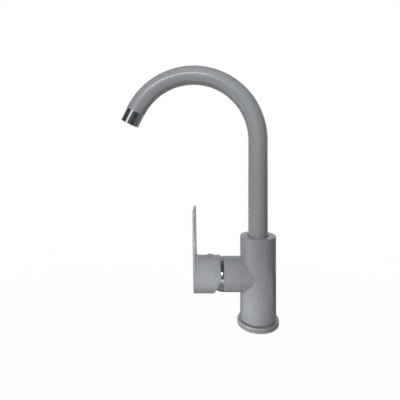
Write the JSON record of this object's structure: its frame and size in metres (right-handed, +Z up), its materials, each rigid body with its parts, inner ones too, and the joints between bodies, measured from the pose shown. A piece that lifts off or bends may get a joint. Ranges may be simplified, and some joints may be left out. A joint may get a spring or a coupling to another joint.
{
  "type": "kitchen mixer tap",
  "caption": "Kitchen mixer tap: round column on a base ring, swan-neck spout with aerator that swivels, and a side lever with an upright blade that tilts and turns.",
  "frame": {"origin": "centre of the base on the deck plane, on the axis of the column and of the spout's swivel", "axes": "+Z up along the column, -X from the column to the lever and (turned 5 degrees) to the outlet, +Y to the back of the picture's view"},
  "size_m": [0.2076, 0.0538, 0.3345],
  "materials": {
    "granite_coat": "matt speckled stone-effect coating",
    "chrome": "polished chrome plate",
    "brass": "turned",
    "steel": "machined",
    "white_plastic": "moulded",
    "dark_plastic": "moulded",
    "grey_plastic": "moulded, speckled like the coating",
    "rubber": "moulded",
    "ceramic": "lapped"
  },
  "bodies": {
    "column": {"tap_body": "granite_coat", "base_ring": "granite_coat", "base_seal": "rubber", "glide_ring": "dark_plastic", "thrust_ring": "white_plastic", "spout_screw": "steel", "cartridge_base": "dark_plastic", "port_seals": "rubber", "fixed_disc": "ceramic", "cartridge_shell": "white_plastic", "cartridge_nut": "brass", "dome_cap": "chrome"},
    "spout": {"spout_tube": "granite_coat", "spout_foot": "brass", "spout_o_rings": "rubber", "spout_tip": "brass", "aerator_shell": "chrome", "aerator_insert": "white_plastic", "aerator_screen": "steel", "aerator_gasket": "rubber"},
    "rotor": {"cartridge_rotor": "dark_plastic", "pivot_pin": "steel"},
    "slider": {"moving_disc": "ceramic", "disc_carrier": "white_plastic"},
    "lever": {"lever_handle": "granite_coat", "cartridge_stem": "steel", "lever_screw": "steel", "index_plug": "grey_plastic"}
  },
  "joints": [
    {"name": "spout_swivel", "type": "hinge", "parent": "column", "child": "spout", "pos_m": [0, 0, 0.1], "axis": [0, 0, 1], "continuous": true},
    {"name": "temperature_turn", "type": "hinge", "parent": "column", "child": "rotor", "pos_m": [-0.0446, 0, 0.0633], "axis": [1, 0, 0], "range_deg": [-45, 45]},
    {"name": "disc_slide", "type": "slide", "parent": "rotor", "child": "slider", "axis": [0, 0, 1], "range_m": [0, 0.0036]},
    {"name": "lever_tilt", "type": "hinge", "parent": "rotor", "child": "lever", "pos_m": [-0.0446, 0, 0.0633], "axis": [0, -1, 0], "range_deg": [0, 22]}
  ],
  "couplings": [
    {"joint": "disc_slide", "follows": "lever_tilt", "m_per_rad": 0.00894}
  ]
}
